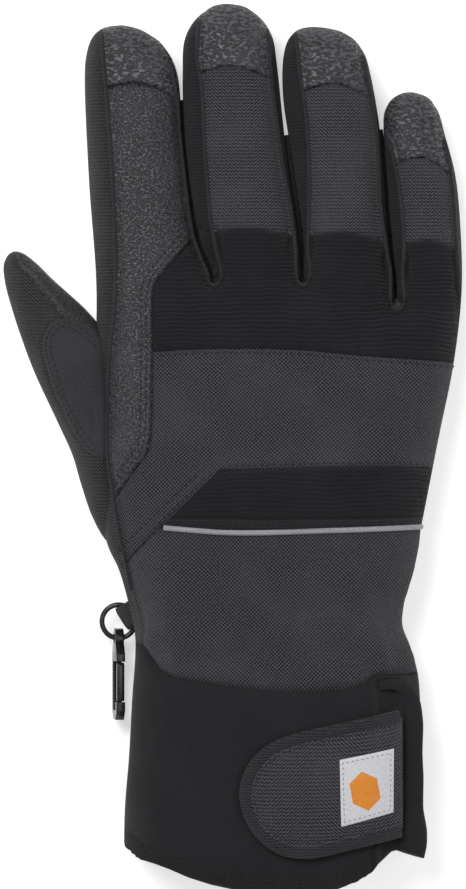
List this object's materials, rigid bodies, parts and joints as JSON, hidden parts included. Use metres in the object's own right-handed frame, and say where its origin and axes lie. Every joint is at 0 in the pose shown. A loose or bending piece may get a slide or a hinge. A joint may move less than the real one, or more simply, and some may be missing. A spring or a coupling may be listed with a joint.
{
  "type": "insulated work glove",
  "caption": "Right-hand insulated work glove with panelled fabric back, grained fingertip caps, strapped cuff and a small carry clip.",
  "frame": {"origin": "on the underside of the palm reinforcement, which the glove rests on, below the middle of the hand", "axes": "+Y towards the fingertips, +Z out of the back of the hand, thumb towards -X"},
  "size_m": [0.1558, 0.2999, 0.0473],
  "materials": {
    "leather": "fine-grained charcoal synthetic leather, satin",
    "grained_leather": "coarse pebble-grained charcoal synthetic leather",
    "palm_leather": "smooth dark synthetic leather",
    "canvas": "charcoal plain-weave canvas",
    "twill": "charcoal twill",
    "rib_fabric": "dark ribbed stretch fabric",
    "neoprene": "smooth black jersey-faced neoprene",
    "lining": "soft dark brushed fleece",
    "binding": "folded black woven binding tape",
    "webbing": "black ribbed webbing",
    "hook_and_loop": "black hook-and-loop tape",
    "reflective": "light grey reflective piping",
    "label": "white woven label with a plain orange shape",
    "plastic": "glossy black moulded plastic"
  },
  "bodies": {
    "hand": {"hand_lining": "lining", "palm_panel": "palm_leather", "index_leather_panel": "leather", "knuckle_rib_panel": "rib_fabric", "back_band_panel": "canvas", "wrist_rib_panel": "rib_fabric", "lower_back_panel": "canvas", "thumb_base_panel": "canvas", "thumb_patch": "twill", "palm_patch": "grained_leather", "reflective_piping": "reflective", "webbing_loop": "webbing"},
    "index_base": {"index_base_lining": "lining", "index_base_back": "leather", "index_base_palm": "palm_leather"},
    "index_tip": {"index_tip_lining": "lining", "index_tip_back": "leather", "index_cap": "grained_leather", "index_tip_palm": "palm_leather"},
    "middle_base": {"middle_base_lining": "lining", "middle_base_back": "twill", "middle_base_palm": "palm_leather"},
    "middle_tip": {"middle_tip_lining": "lining", "middle_tip_back": "twill", "middle_cap": "grained_leather", "middle_tip_palm": "palm_leather"},
    "ring_base": {"ring_base_lining": "lining", "ring_base_back": "twill", "ring_base_palm": "palm_leather"},
    "ring_tip": {"ring_tip_lining": "lining", "ring_tip_back": "twill", "ring_cap": "grained_leather", "ring_tip_palm": "palm_leather"},
    "little_base": {"little_base_lining": "lining", "little_base_back": "twill", "little_base_palm": "palm_leather"},
    "little_tip": {"little_tip_lining": "lining", "little_tip_back": "twill", "little_cap": "grained_leather", "little_tip_palm": "palm_leather"},
    "thumb": {"thumb_tip_lining": "lining", "thumb_tip_back": "twill", "thumb_tip_palm": "palm_leather"},
    "cuff": {"cuff_lining": "lining", "cuff_back_panel": "neoprene", "cuff_gusset": "neoprene", "cuff_palm_panel": "neoprene", "cuff_hem_binding": "binding", "loop_tape": "hook_and_loop"},
    "strap": {"strap_panel": "canvas", "strap_binding": "binding", "hook_tape": "hook_and_loop", "label": "label"},
    "clip_ring": {"clip_ring": "plastic"},
    "snap_hook": {"hook_frame": "plastic"},
    "hook_gate": {"hook_gate": "plastic"}
  },
  "joints": [
    {"name": "index_crease", "type": "hinge", "parent": "hand", "child": "index_base", "pos_m": [-0.03, 0.068, 0.013], "axis": [-1, 0, 0], "range_deg": [0, 60], "stiffness_Nm_per_rad": 0.03},
    {"name": "index_knuckle", "type": "hinge", "parent": "index_base", "child": "index_tip", "pos_m": [-0.03, 0.097, 0.013], "axis": [-1, 0, 0], "range_deg": [0, 75], "stiffness_Nm_per_rad": 0.02},
    {"name": "middle_crease", "type": "hinge", "parent": "hand", "child": "middle_base", "pos_m": [0.005, 0.068, 0.013], "axis": [-1, 0, 0], "range_deg": [0, 60], "stiffness_Nm_per_rad": 0.03},
    {"name": "middle_knuckle", "type": "hinge", "parent": "middle_base", "child": "middle_tip", "pos_m": [0.005, 0.101, 0.013], "axis": [-1, 0, 0], "range_deg": [0, 75], "stiffness_Nm_per_rad": 0.02},
    {"name": "ring_crease", "type": "hinge", "parent": "hand", "child": "ring_base", "pos_m": [0.037, 0.068, 0.013], "axis": [-1, 0, 0], "range_deg": [0, 60], "stiffness_Nm_per_rad": 0.03},
    {"name": "ring_knuckle", "type": "hinge", "parent": "ring_base", "child": "ring_tip", "pos_m": [0.037, 0.097, 0.013], "axis": [-1, 0, 0], "range_deg": [0, 75], "stiffness_Nm_per_rad": 0.02},
    {"name": "little_crease", "type": "hinge", "parent": "hand", "child": "little_base", "pos_m": [0.066, 0.06, 0.013], "axis": [-1, 0, 0], "range_deg": [0, 60], "stiffness_Nm_per_rad": 0.03},
    {"name": "little_knuckle", "type": "hinge", "parent": "little_base", "child": "little_tip", "pos_m": [0.066, 0.084, 0.013], "axis": [-1, 0, 0], "range_deg": [0, 75], "stiffness_Nm_per_rad": 0.02},
    {"name": "thumb_crease", "type": "hinge", "parent": "hand", "child": "thumb", "pos_m": [-0.0577, 0.0381, 0.014], "axis": [-0.8586, -0.5127, 0], "range_deg": [0, 45], "stiffness_Nm_per_rad": 0.02},
    {"name": "wrist_flex", "type": "hinge", "parent": "hand", "child": "cuff", "pos_m": [0.0125, -0.066, 0.02], "axis": [1, 0, 0], "range_deg": [-25, 25], "stiffness_Nm_per_rad": 0.3},
    {"name": "strap_open", "type": "hinge", "parent": "cuff", "child": "strap", "pos_m": [0.0582, -0.112, 0.0375], "axis": [0, 1, 0], "range_deg": [0, 150]},
    {"name": "ring_swing", "type": "hinge", "parent": "hand", "child": "clip_ring", "pos_m": [-0.03398, -0.05696, 0.01], "axis": [-0.5329, 0.8462, 0], "range_deg": [-15, 20]},
    {"name": "hook_swing", "type": "hinge", "parent": "clip_ring", "child": "snap_hook", "pos_m": [-0.0388, -0.0657, 0.01], "axis": [-1, 0, 0], "range_deg": [-60, 60]},
    {"name": "gate_press", "type": "hinge", "parent": "snap_hook", "child": "hook_gate", "pos_m": [-0.0388, -0.075, 0.0147], "axis": [1, 0, 0], "range_deg": [0, 20], "stiffness_Nm_per_rad": 0.05}
  ]
}
